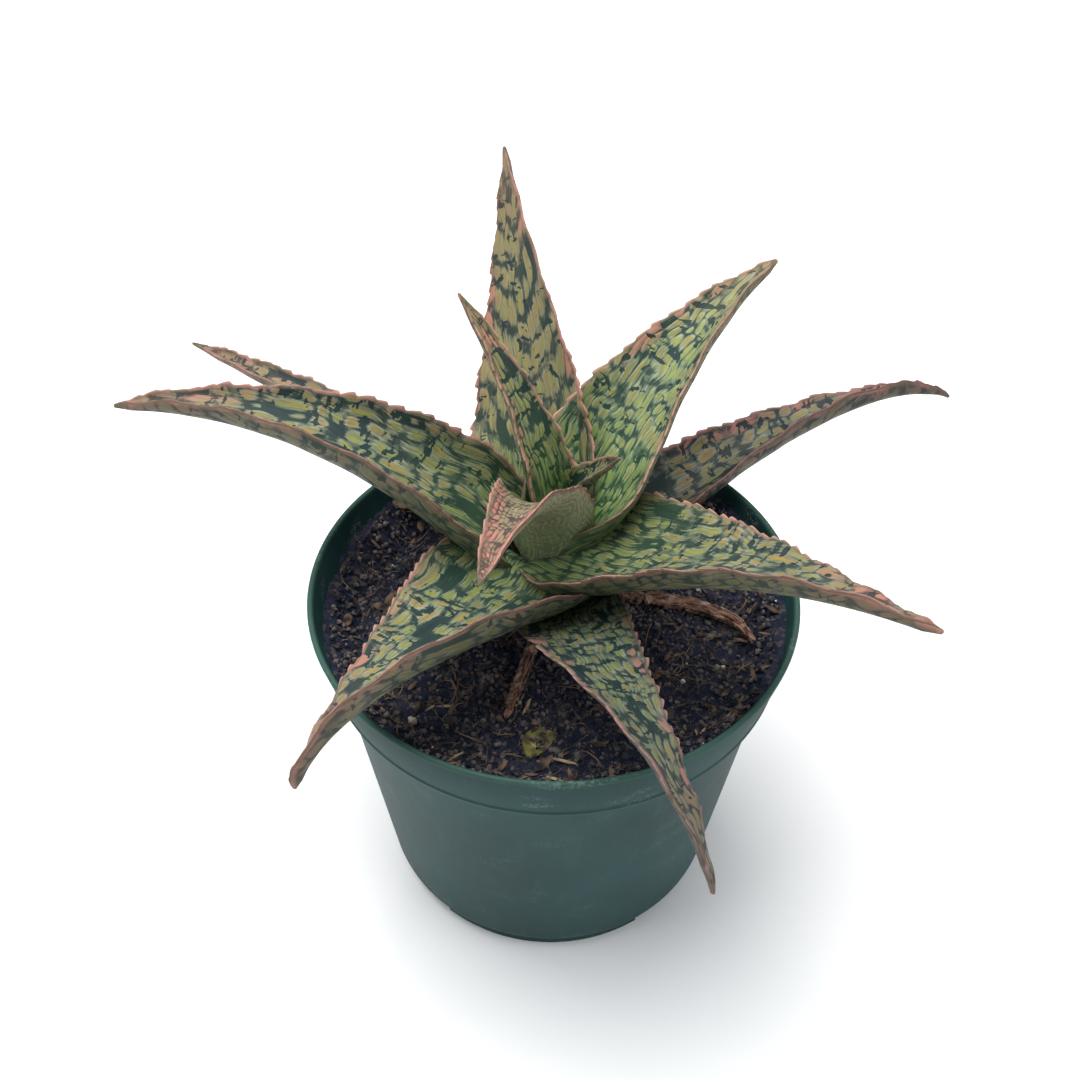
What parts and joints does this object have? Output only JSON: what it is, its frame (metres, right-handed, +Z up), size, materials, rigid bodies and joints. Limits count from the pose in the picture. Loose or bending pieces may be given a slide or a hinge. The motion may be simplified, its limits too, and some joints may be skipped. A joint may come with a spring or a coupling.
{
  "type": "potted snowflake aloe",
  "caption": "Small rosette of mottled, channelled leaves with fine marginal teeth, rooted in loose soil in a round tapered plastic nursery pot with a stepped lip.",
  "frame": {"origin": "centre of the pot's base, on the ground", "axes": "+Z up, -Y towards the viewer of the picture, +X to that viewer's right"},
  "size_m": [0.1952, 0.1713, 0.1484],
  "materials": {
    "pot_plastic": "dark green injection-moulded plastic, satin, faintly scuffed",
    "stem_skin": "green fleshy growing point on a dull stem",
    "heart_skin": "young fleshy leaf skin, warty, flushed pink at the margins",
    "leaf_skin": "waxy fleshy leaf skin, dark green with pale elongated blotches and coral toothed margins",
    "soil_mix": "moist dark potting mix of peat and bark fibre",
    "dried_skin": "withered brown leaf, papery and wrinkled"
  },
  "bodies": {
    "root": {"pot": "pot_plastic", "stem": "stem_skin", "leaf_heart_right": "heart_skin", "leaf_heart_front": "heart_skin", "leaf_young_upright": "leaf_skin", "leaf_back_right": "leaf_skin", "leaf_back": "leaf_skin", "leaf_front_right": "leaf_skin", "leaf_left": "leaf_skin", "leaf_front_left": "leaf_skin", "leaf_right": "leaf_skin", "leaf_back_left": "leaf_skin", "leaf_front": "leaf_skin", "soil": "soil_mix", "dried_leaf_right": "dried_skin", "dried_leaf_front": "dried_skin"}
  },
  "joints": []
}
